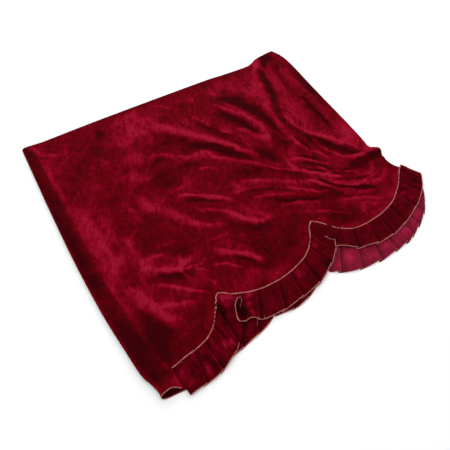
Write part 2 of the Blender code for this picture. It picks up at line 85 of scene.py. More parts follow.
# Folds and creases of the upper layer, each an arc through three points: x, y three times, half
# width, height, and the painted highlight along it, 0 to 1, or painted shade where minus
CREASES = (
    # the main folds, as in the solid
    (-90, 320, 20, 200, 150, 40, 30, 7, 0.0),
    (60, 290, 120, 170, 165, 70, 26, 5, 0.0),
    (150, 330, 215, 190, 240, 60, 28, 7, 0.0),
    (390, 430, 300, 230, 300, 30, 32, 8, 0.0),
    (455, 430, 445, 220, 435, -60, 32, 5, 0.0),
    (310, 150, 350, 30, 450, -110, 28, 6, 0.0),
    (400, -125, 460, -127, 520, -124, 20, 10, 0.0),
    (130, 20, 210, -60, 310, -160, 26, 5, 0.0),
    (60, -60, 150, -130, 260, -190, 28, 5, 0.0),
    (220, -115, 290, -185, 390, -230, 28, 8, 0.0),
    (-70, -40, -20, -150, 70, -180, 28, 5, 0.0),
    (-380, -190, -365, -260, -325, -315, 30, 4, 0.0),
    (-110, -190, -75, -240, -45, -285, 26, 4, 0.0),
    (-340, -130, -280, -185, -205, -190, 28, 4, 0.0),
    # left and front
    (-390, -185, -375, -240, -352, -290, 16, 1.5, 0.6), (-352, -290, -340, -310, -322, -325, 14, 1, 0.5),
    (-345, -150, -335, -145, -325, -160, 14, 1, 0.5), (-310, -160, -285, -178, -255, -192, 9, 2, 0.7),
    (-255, -192, -250, -205, -246, -230, 5, 1, 0.45), (-250, -195, -215, -200, -182, -197, 4, 1, 0.45),
    (-262, -192, -240, -180, -212, -172, 8, 1, 0.5), (-243, -190, -240, -165, -236, -150, 7, 0.8, 0.35),
    (-335, -120, -305, -120, -260, -130, 10, 0.8, 0.35),
    (-320, -205, -290, -230, -262, -255, 6, 1.2, 0.45), (-262, -255, -245, -268, -222, -285, 6, 1.2, 0.5),
    (-335, -262, -310, -275, -270, -292, 8, 1, 0.5), (-215, -208, -200, -218, -190, -230, 4, 0.8, 0.35),
    (-197, -255, -190, -275, -187, -292, 5, 0.8, 0.35), (-160, -225, -140, -235, -105, -268, 5, 1.2, 0.5),
    (-135, -190, -110, -215, -75, -240, 9, 1.8, 0.6), (-75, -240, -60, -255, -45, -280, 9, 1.8, 0.6),
    (-145, -147, -115, -152, -75, -153, 4, 0.6, 0.3), (-195, -5, -180, -35, -155, -68, 14, 1.5, 0.5),
    (-155, -68, -130, -95, -90, -118, 10, 1.2, 0.45), (-140, 32, -115, 20, -80, -5, 6, 1.5, 0.6),
    (-80, -5, -50, -25, -15, -55, 8, 1.5, 0.55), (-115, -45, -85, -62, -50, -90, 7, 1.2, 0.4),
    (-50, -90, -25, -125, 5, -160, 10, 1.8, 0.6), (5, -160, 25, -172, 50, -172, 8, 1.2, 0.5),
    (-350, -20, -345, -45, -343, -75, 8, 0.5, 0.3), (-448, -105, -440, -150, -433, -205, 2.5, 0.8, 0.3),
    (-255, -100, -245, -100, -230, -98, 3, 0.4, 0.2), (-100, -295, -70, -305, -35, -335, 12, 0.8, 0.2),
    (-305, -178, -280, -198, -255, -208, 6, -1, -0.35), (-130, 5, -95, -15, -40, -52, 6, -1, -0.35),
    (-125, -215, -95, -240, -65, -270, 6, -1, -0.3), (20, -10, 30, -35, 50, -50, 12, 0.8, 0.35),
    (0, -40, 20, -45, 45, -52, 8, 0.8, 0.3), (10, -100, 20, -130, 45, -160, 12, 0.8, 0.25),
    (-250, 92, -246, 50, -205, 5, 13, 0.8, 0.35), (-300, -15, -330, -28, -346, -62, 8, 0.6, 0.3),
    (-345, -80, -340, -110, -335, -140, 12, 0.5, 0.2), (-425, 95, -415, 0, -408, -110, 16, 0.5, 0.2),
    (-150, 62, -110, 60, -60, 75, 9, 0.5, 0.2), (-380, 80, -370, 30, -372, -20, 9, 0.3, 0.2),
    (-300, 80, -285, 40, -290, 0, 8, 0.3, 0.22), (-440, 60, -436, 0, -430, -60, 7, 0.3, 0.2),
    # back left
    (-478, 445, -462, 425, -455, 405, 7, 0.8, 0.4), (-450, 395, -430, 385, -405, 370, 7, 0.8, 0.4),
    (-458, 370, -455, 290, -450, 200, 8, 0.5, 0.25), (-372, 400, -380, 375, -385, 350, 5, 0.5, 0.3),
    (-90, 325, -50, 300, -8, 252, 20, 1.5, 0.4), (-8, 246, 15, 208, 55, 172, 17, 1.5, 0.42),
    (55, 172, 80, 143, 106, 105, 13, 1.5, 0.5), (106, 105, 122, 82, 144, 50, 10, 1.5, 0.45),
    (-145, 215, -110, 200, -75, 165, 10, 1, 0.4), (-75, 165, -45, 150, 0, 150, 12, 1, 0.4),
    (0, 150, 20, 135, 60, 105, 9, 1.2, 0.45), (-40, 92, -20, 88, 0, 72, 6, 0.8, 0.35),
    (-300, 290, -290, 275, -280, 265, 8, 0.5, 0.35), (-45, 425, -20, 405, 5, 385, 4, 0.4, 0.25),
    (-60, 385, -35, 370, -5, 350, 4, 0.4, 0.2),
    # back right
    (50, 298, 65, 262, 80, 220, 9, 1.2, 0.4), (80, 220, 104, 185, 120, 150, 10, 1.2, 0.45),
    (120, 150, 136, 125, 147, 95, 9, 1, 0.4), (142, 312, 162, 275, 184, 240, 9, 1.8, 0.5),
    (184, 240, 206, 200, 217, 160, 13, 2, 0.55), (217, 160, 219, 125, 206, 60, 12, 1.5, 0.45),
    (155, 178, 175, 160, 190, 125, 9, 1, 0.4), (190, 125, 205, 105, 225, 95, 12, 1, 0.4),
    (150, 340, 205, 310, 240, 290, 16, -1, -0.55), (205, 300, 235, 250, 255, 190, 20, -1.5, -0.6),
    (255, 190, 262, 150, 255, 110, 12, -1.5, -0.5), (55, 270, 75, 220, 100, 180, 9, -1, -0.35),
    (100, 180, 125, 150, 145, 110, 8, -1, -0.3), (160, 240, 175, 200, 200, 140, 12, -0.8, -0.35),
    (135, 280, 150, 260, 150, 230, 14, -0.5, -0.3), (0, 180, 50, 150, 90, 110, 10, -1, -0.4),
    (330, 380, 310, 310, 290, 220, 24, 1, 0.4), (290, 220, 283, 160, 285, 60, 12, 1.5, 0.5),
    (392, 432, 375, 410, 350, 380, 12, 1.5, 0.45), (369, 385, 358, 310, 342, 250, 14, -1.5, -0.5),
    (341, 250, 319, 195, 303, 130, 12, -1.5, -0.5), (410, 400, 390, 300, 375, 200, 18, 1, 0.35),
    (445, 390, 440, 300, 435, 220, 14, 0.5, 0.3), (432, 200, 430, 150, 430, 20, 5, -0.8, -0.35),
    (482, 330, 480, 250, 478, 150, 12, -0.5, -0.45), (462, 430, 470, 410, 475, 380, 8, 1, 0.3),
    (170, 400, 155, 380, 175, 360, 8, 0.8, 0.3), (395, 452, 385, 425, 362, 390, 12, 2, 0.15),
    (425, 452, 412, 425, 400, 395, 8, -3, -0.8),
    # right
    (-6, 135, 44, 95, 94, 50, 8, 1, 0.42), (94, 50, 120, 26, 141, -2, 8, 1.2, 0.45),
    (145, 0, 165, -25, 190, -45, 4, 1, 0.5), (190, -45, 240, -85, 290, -120, 4, 1.2, 0.55),
    (290, -120, 310, -140, 330, -165, 4, 1, 0.45), (265, 200, 268, 120, 272, 60, 3, -0.5, -0.3),
    (285, 60, 292, 20, 312, -25, 6, 1, 0.45), (312, -25, 330, -45, 342, -75, 6, 1, 0.4),
    (330, 150, 322, 110, 325, 75, 14, 1, 0.4), (325, 75, 350, 35, 385, 5, 9, 1, 0.4),
    (385, 5, 408, -35, 445, -85, 8, 1.2, 0.3), (345, 12, 350, -30, 370, -70, 5, 1, 0.45),
    (370, -70, 390, -100, 440, -118, 8, 1.2, 0.45), (225, -18, 262, -32, 300, -70, 6, 1, 0.45),
    (300, -70, 318, -88, 335, -92, 4, 0.8, 0.35), (212, -20, 220, -50, 240, -82, 5, 0.8, 0.4),
    (250, -92, 280, -120, 320, -150, 6, 1, 0.4), (292, -92, 308, -120, 345, -142, 6, 1.2, 0.5),
    (345, -142, 375, -160, 400, -190, 5, 1, 0.4), (50, -18, 100, -42, 150, -72, 9, 1.2, 0.45),
    (150, -72, 170, -85, 195, -102, 7, 1, 0.4), (140, -100, 180, -125, 222, -162, 6, 1.2, 0.5),
    (222, -162, 240, -175, 262, -182, 5, 0.8, 0.35), (210, -115, 240, -132, 272, -170, 9, 2, 0.55),
    (272, -170, 300, -202, 340, -230, 12, 2, 0.5), (340, -230, 360, -240, 390, -248, 8, 1, 0.4),
    (50, -90, 90, -102, 165, -142, 6, 1, 0.4), (110, -155, 150, -165, 215, -200, 5, 0.8, 0.35),
    (120, -190, 170, -215, 215, -238, 5, 0.6, 0.25), (190, -225, 230, -250, 270, -282, 5, 0.6, 0.25),
    (300, -182, 350, -205, 440, -200, 6, 0.8, 0.35), (270, -225, 330, -250, 390, -286, 6, 0.8, 0.35),
    (310, -290, 330, -270, 362, -296, 5, 0.6, 0.3), (400, -155, 415, -192, 450, -160, 7, 0.8, 0.35),
    (385, -215, 430, -225, 470, -205, 8, 0.6, 0.3), (262, -135, 290, -180, 335, -210, 6, -1.8, -0.6),
    (335, -210, 360, -225, 386, -238, 6, -2, -0.6), (240, -62, 272, -92, 330, -140, 5, -1.2, -0.5),
    (300, 40, 312, -20, 300, -55, 6, -1, -0.4), (352, 20, 378, -35, 405, -75, 7, -1.5, -0.6),
    (405, -75, 420, -95, 450, -108, 5, -1, -0.5), (330, 70, 335, 40, 328, 0, 5, -0.8, -0.35),
    (160, 60, 185, 25, 200, -30, 14, -0.8, -0.35), (248, 85, 250, 60, 255, 35, 10, -0.8, -0.35),
    (35, 130, 80, 95, 115, 60, 8, -0.8, -0.35), (30, -50, 120, -92, 200, -145, 7, -0.8, -0.35),
    (310, -155, 360, -185, 410, -196, 5, -0.8, -0.35), (455, -139, 478, -142, 502, -141, 5, -2, -0.4),
    (100, -130, 150, -155, 230, -195, 6, -0.6, -0.3), (420, 160, 428, 100, 428, 20, 5, -0.6, -0.35),
    (345, 130, 338, 105, 342, 80, 6, -0.5, -0.25), (380, -130, 400, -150, 420, -175, 8, -0.5, -0.25),
    (230, -130, 250, -165, 290, -215, 5, -0.6, -0.3),
    (308, 130, 312, 90, 322, 60, 8, -0.8, -0.35), (245, -50, 285, -72, 312, -105, 9, -1, -0.4),
    (312, -105, 330, -138, 372, -142, 8, -1, -0.45), (270, -15, 290, -40, 312, -72, 6, -0.8, -0.4),
    (262, -140, 292, -188, 335, -214, 9, -1, -0.3), (335, -214, 360, -228, 386, -236, 8, -1, -0.3),
)
# Painted highlights, and painted shade where the strength is minus: x, y, radius along x and y,
# strength. Their outlines wander by PATCH_WANDER
PATCH_WANDER, PATCH_WAVE = 13.0, 110.0
# Painted shade and highlight: cloth that rises toward the back and the right is darkened, and cloth that
# falls that way lightened
PAINTED_SHADE_SIDE, PAINTED_SHADE_GAIN, PAINTED_SHADE_LIMIT = (0.5, 0.86), 1.1, 0.26
PAINTED_LIGHT_PATCHES = (
    (-160, 380, 60, 45, 0.36), (-120, 340, 30, 50, 0.28), (-130, 425, 50, 12, 0.2),
    (-200, 320, 45, 25, 0.3), (-200, 235, 40, 25, 0.36), (-345, 190, 25, 12, 0.2),
    (-410, 90, 25, 40, 0.2), (-398, -5, 24, 38, 0.34), (-392, -84, 22, 20, 0.25),
    (-430, 130, 20, 30, 0.2),
    (-240, 170, 30, 15, 0.25), (-190, 150, 20, 12, 0.25), (-220, 45, 35, 15, 0.2), (-130, 55, 25, 8, 0.2),
    (220, 385, 60, 28, 0.3), (100, 385, 20, 20, 0.3), (265, 330, 25, 40, 0.3), (370, 140, 30, 60, 0.35),
    (460, -12, 40, 55, 0.5), (495, -90, 22, 32, 0.25), (255, 2, 30, 28, 0.25),
    (320, -262, 35, 28, 0.16), (385, -276, 38, 14, 0.15),
    (262, -290, 42, 20, -0.36), (225, -250, 25, 22, -0.3), (410, -300, 18, 9, -0.25),
    (505, -195, 18, 40, -0.2), (455, -180, 20, 10, -0.06), (400, -172, 22, 14, -0.12),
    (-185, 375, 15, 10, -0.3), (-255, 400, 12, 25, -0.4), (-330, 120, 50, 15, -0.2),
    (-150, 120, 30, 30, -0.25), (-140, 185, 35, 12, -0.25), (-420, 240, 25, 40, -0.15),
    (-100, 240, 40, 15, -0.25), (-20, 180, 30, 15, -0.3), (-300, 320, 30, 30, -0.15),
    (-270, -70, 70, 25, -0.2), (-220, -130, 50, 20, -0.2), (305, 345, 8, 20, -0.4),
    (425, 430, 20, 14, -0.6), (435, 360, 12, 25, -0.3), (-415, -335, 45, 100, -0.3),
    (-385, -300, 30, 60, -0.1), (-402, -428, 14, 18, -0.25),
    (-408, -461, 20, 7, 0.3), (-272, -357, 30, 20, -0.15), (-222, -280, 22, 24, -0.2),
    (31, -325, 34, 16, -0.2), (74, -290, 24, 20, -0.2), (-60, -322, 40, 16, -0.15),
    (176, -232, 20, 12, -0.15),
    (-300, -350, 110, 50, -0.25), (20, -270, 110, 55, -0.24), (-480, -120, 14, 250, -0.2),
    (175, 30, 22, 50, -0.2), (95, 0, 45, 20, -0.16), (-270, -10, 40, 30, -0.16),
    (-90, -10, 40, 20, -0.15),
    (-380, -100, 50, 50, 0.08), (60, 20, 60, 20, -0.12),
    (20, 300, 25, 12, 0.2), (25, 212, 20, 12, 0.12), (300, 320, 30, 50, 0.15), (355, 105, 8, 12, -0.3),
    (450, 250, 10, 60, 0.1), (-150, 90, 30, 14, -0.2), (-60, 120, 30, 12, -0.2), (100, 240, 14, 30, -0.2),
)
# The back right corner stands up a little
CORNER, CORNER_LIFT, CORNER_REACH = (470.0, 455.0), 9.0, 70.0
CREASE_WANDER, CREASE_WAVE = 2.4, 48.0


def ease(value):
    """Smooth step from 0 to 1."""
    value = np.clip(value, 0.0, 1.0)
    return value * value * (3.0 - 2.0 * value)


def smooth_line(points, per_span=8):
    """Points along a smooth curve through the given points."""
    points = np.array(points, float)
    padded = np.vstack([2 * points[0] - points[1], points, 2 * points[-1] - points[-2]])
    spans = []
    for a, b, c, d in zip(padded, padded[1:], padded[2:], padded[3:]):
        for k in range(per_span):
            s = k / per_span
            spans.append(0.5 * (2 * b + (c - a) * s + (2 * a - 5 * b + 4 * c - d) * s ** 2
                                + (3 * b - a - 3 * c + d) * s ** 3))
    return np.vstack([spans, points[-1]])


def along(line, shares):
    """The points at shares, 0 to 1, of a line's length."""
    steps = np.linalg.norm(np.diff(line, axis=0), axis=1)
    length = np.concatenate([[0], np.cumsum(steps)])
    return np.stack([np.interp(np.asarray(shares) * length[-1], length, line[:, i])
                     for i in range(line.shape[1])], axis=-1)


def front_y(x, seam, plain_hem):
    """The cloth's front edge: a little outside the seam, or the plain hem beside the fold."""
    hem, seam = np.array(plain_hem, float), np.array(seam, float)
    sewn = np.interp(x, seam[:, 0], seam[:, 1]) - SEAM
    return np.where(x < hem[-1, 0], np.interp(x, hem[:, 0], hem[:, 1]), sewn)


def lower_height(x, y):
    """Middle of the lower layer: flat on the floor, raised over the heading of its ruffle."""
    seam = np.array(LOWER_SEAM, float)
    inward = y - np.interp(x, seam[:, 0], seam[:, 1])
    lift = 1.0 - ease((inward - SEAM) / HEADING_SLOPE)
    return FLOOR_MID + (LOWER_EDGE_MID - FLOOR_MID) * lift * ease((x + 412.0) / 66.0)


def ripple(x, y, length, seed):
    """A smooth, uneven wave of about this length, about -1 to 1: seven waves at random turns."""
    luck, circle = np.random.default_rng(seed), 6.28
    turns, phases = luck.uniform(0, circle, 7), luck.uniform(0, circle, 7)
    total = np.zeros(np.shape(x))
    for turn, phase, pace in zip(turns, phases, luck.uniform(0.6, 1.6, 7)):
        total += np.sin((x * math.cos(turn) + y * math.sin(turn)) * circle * pace / length + phase)
    return total / 4.0


def crease_sum(x, y):
    """Height of the creases at a place, and the painted highlight or shade along them. No crease runs true.
    A crease is round in section and dies out at its ends, and its painted highlight or shade has a crisper
    edge."""
    x, y = (x + CREASE_WANDER * ripple(x, y, CREASE_WAVE, 3),
            y + CREASE_WANDER * ripple(x, y, CREASE_WAVE, 4))
    height, pile = np.zeros(np.shape(x)), np.zeros(np.shape(x))
    for x1, y1, x2, y2, x3, y3, half_width, rise, crease_painted_light in CREASES:
        arc = smooth_line(((x1, y1), (x2, y2), (x3, y3)), 5)
        reach = 2.2 * half_width
        near = ((x > arc[:, 0].min() - reach) & (x < arc[:, 0].max() + reach)
                & (y > arc[:, 1].min() - reach) & (y < arc[:, 1].max() + reach))
        px, py = x[near], y[near]
        nearest, share = np.full(px.shape, 1e9), np.zeros(px.shape)
        for k, ((ax, ay), (bx, by)) in enumerate(zip(arc, arc[1:])):
            part = np.clip(((px - ax) * (bx - ax) + (py - ay) * (by - ay))
                           / ((bx - ax) ** 2 + (by - ay) ** 2), 0, 1)
            gap = np.hypot(px - ax - part * (bx - ax), py - ay - part * (by - ay))
            share = np.where(gap < nearest, (k + part) / (len(arc) - 1), share)
            nearest = np.minimum(gap, nearest)
        taper, across = np.sin(np.pi * (0.12 + 0.76 * share)), nearest / half_width
        height[near] += rise * taper * np.exp(-1.6 * across ** 2)
        # pile here sums the creases' painted highlights and painted shade
        pile[near] += 0.9 * crease_painted_light * taper ** 0.7 * np.exp(-0.7 * across ** 3.2)
    return height, pile


def upper_height(x, y):
    """Middle of the upper layer, and its painted highlights and shade. The fold comes down over 30 mm
    at the front and 70 mm further back, and painted shade darkens the cloth over it. No crease reaches the
    hem."""
    fold = np.array(FOLD, float)
    crown = np.interp(y, fold[:, 0], fold[:, 3])
    start = np.interp(y, fold[:, 0], fold[:, 1] + fold[:, 2])
    width = 30.0 + 40.0 * ease((y + 430.0) / 300.0)
    base = lower_height(x, y) + LAYER_STEP
    down = ease((x - start) / width)
    creases, pile = crease_sum(x, y)
    fold_end, fold_painted_shade = start + 27.0, 0.25
    # Painted shade over the fold
    pile -= fold_painted_shade * ease((fold_end - x) / 13.0)
    edge = ease((y - front_y(x, UPPER_SEAM, UPPER_PLAIN_HEM) - 14.0) / 40.0)
    corner = CORNER_LIFT * np.exp(-(np.hypot(x - CORNER[0], y - CORNER[1]) / CORNER_REACH) ** 2)
    return np.maximum(base, crown * (1 - down) + base * down) + creases * down * edge + corner, pile


def layer_grid(seam, plain_hem, inset, columns):
    """One layer of the cloth as a grid of x, y, between its four edges."""
    xs = np.linspace(plain_hem[0][0], RIGHT_EDGE[0][0] - inset, 480)
    front = np.stack([xs, front_y(xs, seam, plain_hem)], axis=1)
    back = smooth_line(BACK_EDGE) - (0, inset)
    back[:, 0] = np.interp(back[:, 0], (back[0, 0], back[-1, 0]), (back[0, 0], back[-1, 0] - inset))
    left = smooth_line([(x + nose, y) for y, x, nose, _ in FOLD])
    left[:, 1] = np.interp(left[:, 1], (left[0, 1], left[-1, 1]), (front[0, 1], back[0, 1]))
    right = smooth_line(RIGHT_EDGE) - (inset, 0)
    right[:, 1] = np.interp(right[:, 1], (right[0, 1], right[-1, 1]), (front[-1, 1], back[-1, 1]))
    front[0], back[0] = left[0], left[-1]
    us, vs = np.linspace(0, 1, columns + 1), np.linspace(0, 1, ROWS + 1)
    f, b = along(front, us)[None], along(back, us)[None]
    l, r = along(left, vs)[:, None], along(right, vs)[:, None]
    u, v = us[None, :, None], vs[:, None, None]
    corners = ((1 - u) * ((1 - v) * front[0] + v * back[0]) + u * ((1 - v) * front[-1] + v * back[-1]))
    return (1 - v) * f + v * b + (1 - u) * l + u * r - corners


def nose_grid(top_edge, bottom_edge):
    """The fold between the two layers' inner edges."""
    fold = np.array(FOLD, float)
    nose = np.interp(top_edge[:, 1], fold[:, 0], fold[:, 2])
    columns = []
    for k in range(1, NOSE_STEPS):
        turn = math.pi / 2 - math.pi * k / NOSE_STEPS
        share = (1 - math.sin(turn)) / 2
        mid, half = (top_edge[:, 2] + bottom_edge[:, 2]) / 2, (top_edge[:, 2] - bottom_edge[:, 2]) / 2
        columns.append(np.stack([top_edge[:, 0] - nose * math.cos(turn),
                                 top_edge[:, 1] + (bottom_edge[:, 1] - top_edge[:, 1]) * share,
                                 mid + half * math.sin(turn)], axis=1))
    return np.stack(columns, axis=1)


# The tables' zero, from the frame's: the middle of the whole cover's box lies at x 23.5, y -18
ORIGIN = np.array([23.5, -18.0, 0.0])


def cloth_object(name, grid, thickness, materials, face_up=True, pile=None, rim_only=False):
    """A sheet from a grid of points in millimetres, given its thickness, with its painted highlights and
    shade.
    """
    rows, columns = grid.shape[:2]
    corner = np.arange(rows * columns).reshape(rows, columns)
    a, b, c, d = corner[:-1, :-1], corner[:-1, 1:], corner[1:, 1:], corner[1:, :-1]
    order = (a, d, c, b) if face_up else (a, b, c, d)
    faces = np.stack([side.ravel() for side in order], axis=1)
    mesh = bpy.data.meshes.new(name)
    mesh.from_pydata(((grid.reshape(-1, 3) - ORIGIN) * MM).tolist(), [], faces.tolist())
    mesh.shade_smooth()
    # The painted light map: painted highlights and shade, which the material adds into the colour
    lay = mesh.attributes.new("painted_light_map", "FLOAT", "POINT")
    lay.data.foreach_set("value", np.zeros(rows * columns) if pile is None else pile.ravel())
    for material in materials:
        mesh.materials.append(material)
    piece = bpy.data.objects.new(name, mesh)
    bpy.context.scene.collection.objects.link(piece)
    solidify = piece.modifiers.new("thickness", "SOLIDIFY")
    solidify.thickness = thickness * MM
    solidify.offset = -1.0 if rim_only else 0.0
    solidify.use_rim_only = rim_only
    solidify.material_offset = 0 if rim_only else 1
    return piece


def linear(shade):
    """An sRGB hex colour as linear red, green, blue and alpha."""
    parts = [int(shade[i:i + 2], 16) / 255 for i in (1, 3, 5)]
    return [p / 12.92 if p <= 0.04045 else ((p + 0.055) / 1.055) ** 2.4 for p in parts] + [1.0]


def add(tree, kind, settings=None, links=None):
    """Adds a node, with its settings and its links by socket name, number or property."""
    made = tree.nodes.new(kind)
    for name, value in (settings or {}).items():
        if isinstance(name, int) or name in made.inputs:
            made.inputs[name].default_value = value
        else:
            setattr(made, name, value)
    for name, source in (links or {}).items():
        tree.links.new(source, made.inputs[name])
    return made


def stops(ramp, shades):
    """Sets a colour ramp to (place, sRGB hex) pairs."""
    band = ramp.color_ramp
    for place, _ in shades[2:]:
        band.elements.new(place)
    for stop, (place, shade) in zip(sorted(band.elements, key=lambda e: e.position), shades):
        stop.position, stop.color = place, linear(shade)


def new_material(name):
    """An empty material, with its node tree and Principled shader."""
    material = bpy.data.materials.new(name)
    material.use_nodes = True
    tree = material.node_tree
    return material, tree, tree.nodes["Principled BSDF"]


def crushed_velvet(name, shades):
    """Crushed velvet, woven with a short cut pile that heat has laid in patches, its tone uneven at
    random. Its highlights and shade are painted into its colour from the mesh's painted light map:
    darker for painted shade, pink for painted highlights. Pile 1 mm, so its grain is drawn at about
    2 mm, as coarse as it needs to show."""
    material, tree, shader = new_material(name)
    place = add(tree, "ShaderNodeTexCoord").outputs["Object"]
    # Painted highlights and painted shade, kept on the mesh
    lay = add(tree, "ShaderNodeAttribute", {"attribute_name": "painted_light_map"}).outputs["Fac"]
    drift = add(tree, "ShaderNodeTexNoise", {"Scale": 5.0, "Detail": 1.0}, {"Vector": place})
    bent = add(tree, "ShaderNodeVectorMath", {"operation": "MULTIPLY_ADD", 1: (0.11, 0.11, 0.11)},
               {0: drift.outputs["Color"], 2: place}).outputs[0]
    turned = add(tree, "ShaderNodeMapping", {"vector_type": "TEXTURE", "Rotation": (0.0, 0.0, 1.25),
                                             "Scale": (0.042, 0.015, 0.02)},
                 {"Vector": bent}).outputs["Vector"]
    patches = add(tree, "ShaderNodeTexNoise", {"Scale": 10.0, "Detail": 5.0, "Roughness": 0.62,
                                               "Distortion": 1.1}, {"Vector": place})
    strokes = add(tree, "ShaderNodeTexNoise", {"Scale": 1.0, "Detail": 4.0, "Roughness": 0.65,
                                               "Distortion": 1.2}, {"Vector": turned})
    mottle = add(tree, "ShaderNodeTexNoise", {"Scale": 75.0, "Detail": 4.0, "Roughness": 0.6,
                                              "Distortion": 0.6}, {"Vector": place})
    grain = add(tree, "ShaderNodeTexNoise", {"Scale": 480.0, "Detail": 2.0}, {"Vector": place})
    # How far each pattern moves the velvet's tone; feathered breaks up the edges of the painted highlights
    # and shade
    ranges = {}
    for use, noise, spread, low, high in (
            ("big", patches, (0.3, 0.72), 0.2, 0.48), ("stroke", strokes, (0.3, 0.7), -0.15, 0.17),
            ("small", mottle, (0.3, 0.7), -0.09, 0.11), ("fine", grain, (0.25, 0.75), -0.05, 0.05),
            ("feathered", strokes, (0.3, 0.7), 0.6, 1.4)):
        limits = {"From Min": spread[0], "From Max": spread[1], "To Min": low, "To Max": high}
        ranges[use] = add(tree, "ShaderNodeMapRange", limits, {"Value": noise.outputs["Fac"]}).outputs[0]
    laid = add(tree, "ShaderNodeMath", {"operation": "MULTIPLY_ADD"},
               {0: lay, 1: ranges["feathered"], 2: ranges["big"]})
    crushed = add(tree, "ShaderNodeMath", {"operation": "ADD"},
                  {0: laid.outputs[0], 1: ranges["stroke"]})
    rough = add(tree, "ShaderNodeMath", {"operation": "ADD"}, {0: ranges["small"], 1: ranges["fine"]})
    total = add(tree, "ShaderNodeMath", {"operation": "ADD"},
                {0: crushed.outputs[0], 1: rough.outputs[0]})
    ramp = add(tree, "ShaderNodeValToRGB", {}, {"Fac": total.outputs[0]})
    stops(ramp, shades)
    tree.links.new(ramp.outputs["Color"], shader.inputs["Base Color"])
    relief = add(tree, "ShaderNodeMath", {"operation": "ADD"},
                 {0: ranges["stroke"], 1: rough.outputs[0]})
    bump = add(tree, "ShaderNodeBump", {"Strength": 0.4, "Distance": 0.003},
               {"Height": relief.outputs[0]})
    tree.links.new(bump.outputs["Normal"], shader.inputs["Normal"])
    for socket, value in (("Roughness", 0.85), ("Specular IOR Level", 0.02), ("Sheen Weight", 0.2),
                          ("Sheen Roughness", 0.35), ("Sheen Tint", linear("#C0021C"))):
        shader.inputs[socket].default_value = value
    return material


def velvet_back(name, shades):
    """The velvet's back, a smooth fine knit with no pile, so it is brighter and more even than the
    face. Its courses are 0.8 mm apart, drawn at 1.6 mm so that they show."""
    material, tree, shader = new_material(name)
    place = add(tree, "ShaderNodeTexCoord").outputs["Object"]
    soft = add(tree, "ShaderNodeTexNoise", {"Scale": 28.0, "Detail": 3.0}, {"Vector": place})
    # The strip's painted highlights and painted shade, added to the knit's tone
    lay = add(tree, "ShaderNodeAttribute", {"attribute_name": "painted_light_map"}).outputs["Fac"]
    total = add(tree, "ShaderNodeMath", {"operation": "ADD"}, {0: soft.outputs["Fac"], 1: lay})
    ramp = add(tree, "ShaderNodeValToRGB", {}, {"Fac": total.outputs[0]})
    stops(ramp, shades)
    tree.links.new(ramp.outputs["Color"], shader.inputs["Base Color"])
    courses = add(tree, "ShaderNodeTexWave", {"Scale": 100.0, "Distortion": 0.6}, {"Vector": place})
    bump = add(tree, "ShaderNodeBump", {"Strength": 0.1, "Distance": 0.0004},
               {"Height": courses.outputs["Fac"]})
    tree.links.new(bump.outputs["Normal"], shader.inputs["Normal"])
    for socket, value in (("Roughness", 0.7), ("Specular IOR Level", 0.08), ("Sheen Weight", 0.12),
                          ("Sheen Tint", linear("#C42058"))):
        shader.inputs[socket].default_value = value
    return material


cover_velvet = crushed_velvet("crushed_velvet_burgundy", (
    (0.0, "#350006"), (0.14, "#450005"), (0.36, "#5C000A"), (0.59, "#780219"), (0.79, "#860A23"),
    (1.0, "#8E112B")))

top_xy = layer_grid(UPPER_SEAM, UPPER_PLAIN_HEM, 0.0, UPPER_COLUMNS)
top_z, top_painted_light = upper_height(top_xy[..., 0], top_xy[..., 1])
top = np.dstack([top_xy, top_z + VELVET / 2])
uneven = [top_xy[..., i] + PATCH_WANDER * ripple(top_xy[..., 0], top_xy[..., 1], PATCH_WAVE, 7 + i)
          for i in (0, 1)]
# Painted highlights and painted shade from the table
for px, py, rx, ry, strength in PAINTED_LIGHT_PATCHES:
    top_painted_light += strength * np.exp(-((uneven[0] - px) / rx) ** 2 - ((uneven[1] - py) / ry) ** 2)
# Painted shade and painted highlight by the cloth's slope
slope_y, slope_x = np.gradient(top_z)
step_x = np.gradient(top[..., 0], axis=1)
step_y = np.gradient(top[..., 1], axis=0)
slope = PAINTED_SHADE_SIDE[0] * slope_x / step_x + PAINTED_SHADE_SIDE[1] * slope_y / step_y
top_painted_light -= np.clip(PAINTED_SHADE_GAIN * slope, -PAINTED_SHADE_LIMIT, PAINTED_SHADE_LIMIT)
bottom_xy = layer_grid(LOWER_SEAM, LOWER_PLAIN_HEM, LOWER_INSET, LOWER_COLUMNS)
bottom = np.dstack([bottom_xy, lower_height(bottom_xy[..., 0], bottom_xy[..., 1]) - VELVET / 2])
nose = nose_grid(top[:, 0], bottom[:, 0])
section = np.concatenate([top[:, ::-1], nose, bottom], axis=1)
# Round the fold the top's painted light fades into painted shade, with a painted highlight line a third of
# the way down
turned = np.linspace(0, 1, NOSE_STEPS - 1)[None]
fold_painted_highlight = 0.5 * np.exp(-((turned - 0.36) / 0.14) ** 2)
nose_painted_light = top_painted_light[:, :1] * (1 - turned) - 0.4 * turned + fold_painted_highlight
# Painted shade over the lower layer, where it shows under the upper one
bottom_painted_shade = np.zeros(bottom.shape[:2]) - 0.2
section_painted_light = np.concatenate([top_painted_light[:, ::-1], nose_painted_light, bottom_painted_shade], axis=1)
cover = cloth_object("cover_velvet", section, VELVET, (cover_velvet,), True, section_painted_light, rim_only=True)
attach(cover, "root")
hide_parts("cover_cloth")

# The ruffle. Strips of the same velvet about 78 mm wide, overlocked, laid in knife pleats and
# sewn along each scallop. Each pleat's face rises over the next one's start and folds back under.
STRIP = 0.8
PLEAT_STEP = 1.6
HEADING_LAP, HEM_LAP = 16.0, 7.0
CLOTH_TO_STRIP = 1.35
LOWER_STRIP_MID = 0.6
UPPER_HEM_MID, HEM_DROP = 5.7, 3.4   # over the lower strips, and how far it sinks outside them
END_PULL = 48.0         # how much of a strip its tucked right end draws along
STRIP_SHARES = np.linspace(0, 1, 13)
CURL_STEPS = (0.0, 0.06, 0.16, 0.3, 0.48, 0.7)
pleat_luck = np.random.default_rng(11)

